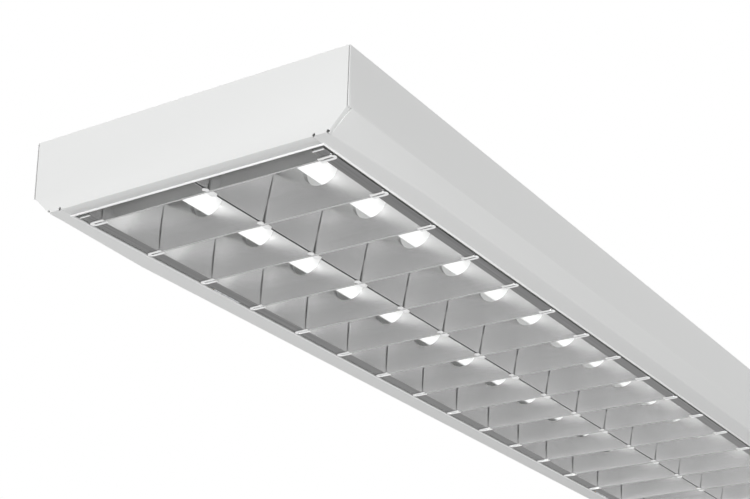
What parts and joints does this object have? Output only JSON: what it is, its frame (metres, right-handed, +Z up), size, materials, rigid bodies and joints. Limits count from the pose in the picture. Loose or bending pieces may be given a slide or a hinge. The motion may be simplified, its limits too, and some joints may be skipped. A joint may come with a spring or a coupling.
{
  "type": "surface-mounted louvre luminaire",
  "caption": "Long shallow ceiling luminaire: folded white steel housing with chamfered lower edges, linear tubes and a hinged parabolic cross-blade louvre.",
  "frame": {"origin": "centre of the housing's flat top face, which lies against the ceiling", "axes": "+Y along the tubes, +Z up into the ceiling, +X across the body; the louvre's hinge is on the -X side"},
  "size_m": [0.304, 1.23, 0.068],
  "materials": {
    "white_steel": "white polyester powder coat, low gloss",
    "louvre_aluminium": "satin anodised",
    "tube_glass": "clear glass with a white phosphor coating inside, so opaque white",
    "cap_aluminium": "brushed",
    "pin_brass": "plain turned",
    "holder_white": "white moulded",
    "rotor_white": "white moulded",
    "gear_case": "pale grey coated steel",
    "gear_terminals": "white moulded",
    "block_plastic": "natural white moulded",
    "grommet_rubber": "black",
    "brass_fittings": "plain",
    "lead_white": "white insulation",
    "lead_earth": "green insulation with a yellow stripe",
    "zinc_steel": "zinc plated"
  },
  "bodies": {
    "housing": {"ballast_case": "gear_case", "ballast_screws": "zinc_steel", "ballast_terminals": "gear_terminals", "cable_grommet": "grommet_rubber", "catch_spring_1": "zinc_steel", "catch_spring_2": "zinc_steel", "earth_lead": "lead_earth", "earth_nut": "brass_fittings", "earth_stud": "brass_fittings", "end_plate_far": "white_steel", "end_plate_near": "white_steel", "end_plate_rivets": "zinc_steel", "gear_cover": "white_steel", "gear_cover_screws": "zinc_steel", "hinge_leaves_tray": "zinc_steel", "hinge_pins": "brass_fittings", "housing_tray": "white_steel", "lampholder_left_far": "holder_white", "lampholder_left_near": "holder_white", "lampholder_right_far": "holder_white", "lampholder_right_near": "holder_white", "leads_far": "lead_white", "leads_near": "lead_white", "mains_leads": "lead_white", "terminal_block": "block_plastic", "terminal_screws": "brass_fittings"},
    "louvre": {"catch_tab_1": "zinc_steel", "catch_tab_2": "zinc_steel", "hinge_leaves_louvre": "zinc_steel", "louvre_blade_01": "louvre_aluminium", "louvre_blade_02": "louvre_aluminium", "louvre_blade_03": "louvre_aluminium", "louvre_blade_04": "louvre_aluminium", "louvre_blade_05": "louvre_aluminium", "louvre_blade_06": "louvre_aluminium", "louvre_blade_07": "louvre_aluminium", "louvre_blade_08": "louvre_aluminium", "louvre_blade_09": "louvre_aluminium", "louvre_blade_10": "louvre_aluminium", "louvre_blade_11": "louvre_aluminium", "louvre_blade_12": "louvre_aluminium", "louvre_blade_13": "louvre_aluminium", "louvre_blade_14": "louvre_aluminium", "louvre_blade_15": "louvre_aluminium", "louvre_blade_16": "louvre_aluminium", "louvre_blade_17": "louvre_aluminium", "louvre_centre_profile": "louvre_aluminium", "louvre_reflector_left": "louvre_aluminium", "louvre_reflector_right": "louvre_aluminium"},
    "tube_left": {"holder_rotor_left_far": "rotor_white", "holder_rotor_left_near": "rotor_white", "tube_caps_left": "cap_aluminium", "tube_glass_left": "tube_glass", "tube_pins_left": "pin_brass"},
    "tube_right": {"holder_rotor_right_far": "rotor_white", "holder_rotor_right_near": "rotor_white", "tube_caps_right": "cap_aluminium", "tube_glass_right": "tube_glass", "tube_pins_right": "pin_brass"}
  },
  "joints": [
    {"name": "louvre_hinge", "type": "hinge", "parent": "housing", "child": "louvre", "pos_m": [-0.11845, 0, -0.0668], "axis": [0, 1, 0], "range_deg": [0, 90]},
    {"name": "tube_left_turn", "type": "hinge", "parent": "housing", "child": "tube_left", "pos_m": [-0.0572, 0, -0.029], "axis": [0, 1, 0], "range_deg": [0, 90]},
    {"name": "tube_right_turn", "type": "hinge", "parent": "housing", "child": "tube_right", "pos_m": [0.0572, 0, -0.029], "axis": [0, 1, 0], "range_deg": [0, 90]}
  ]
}
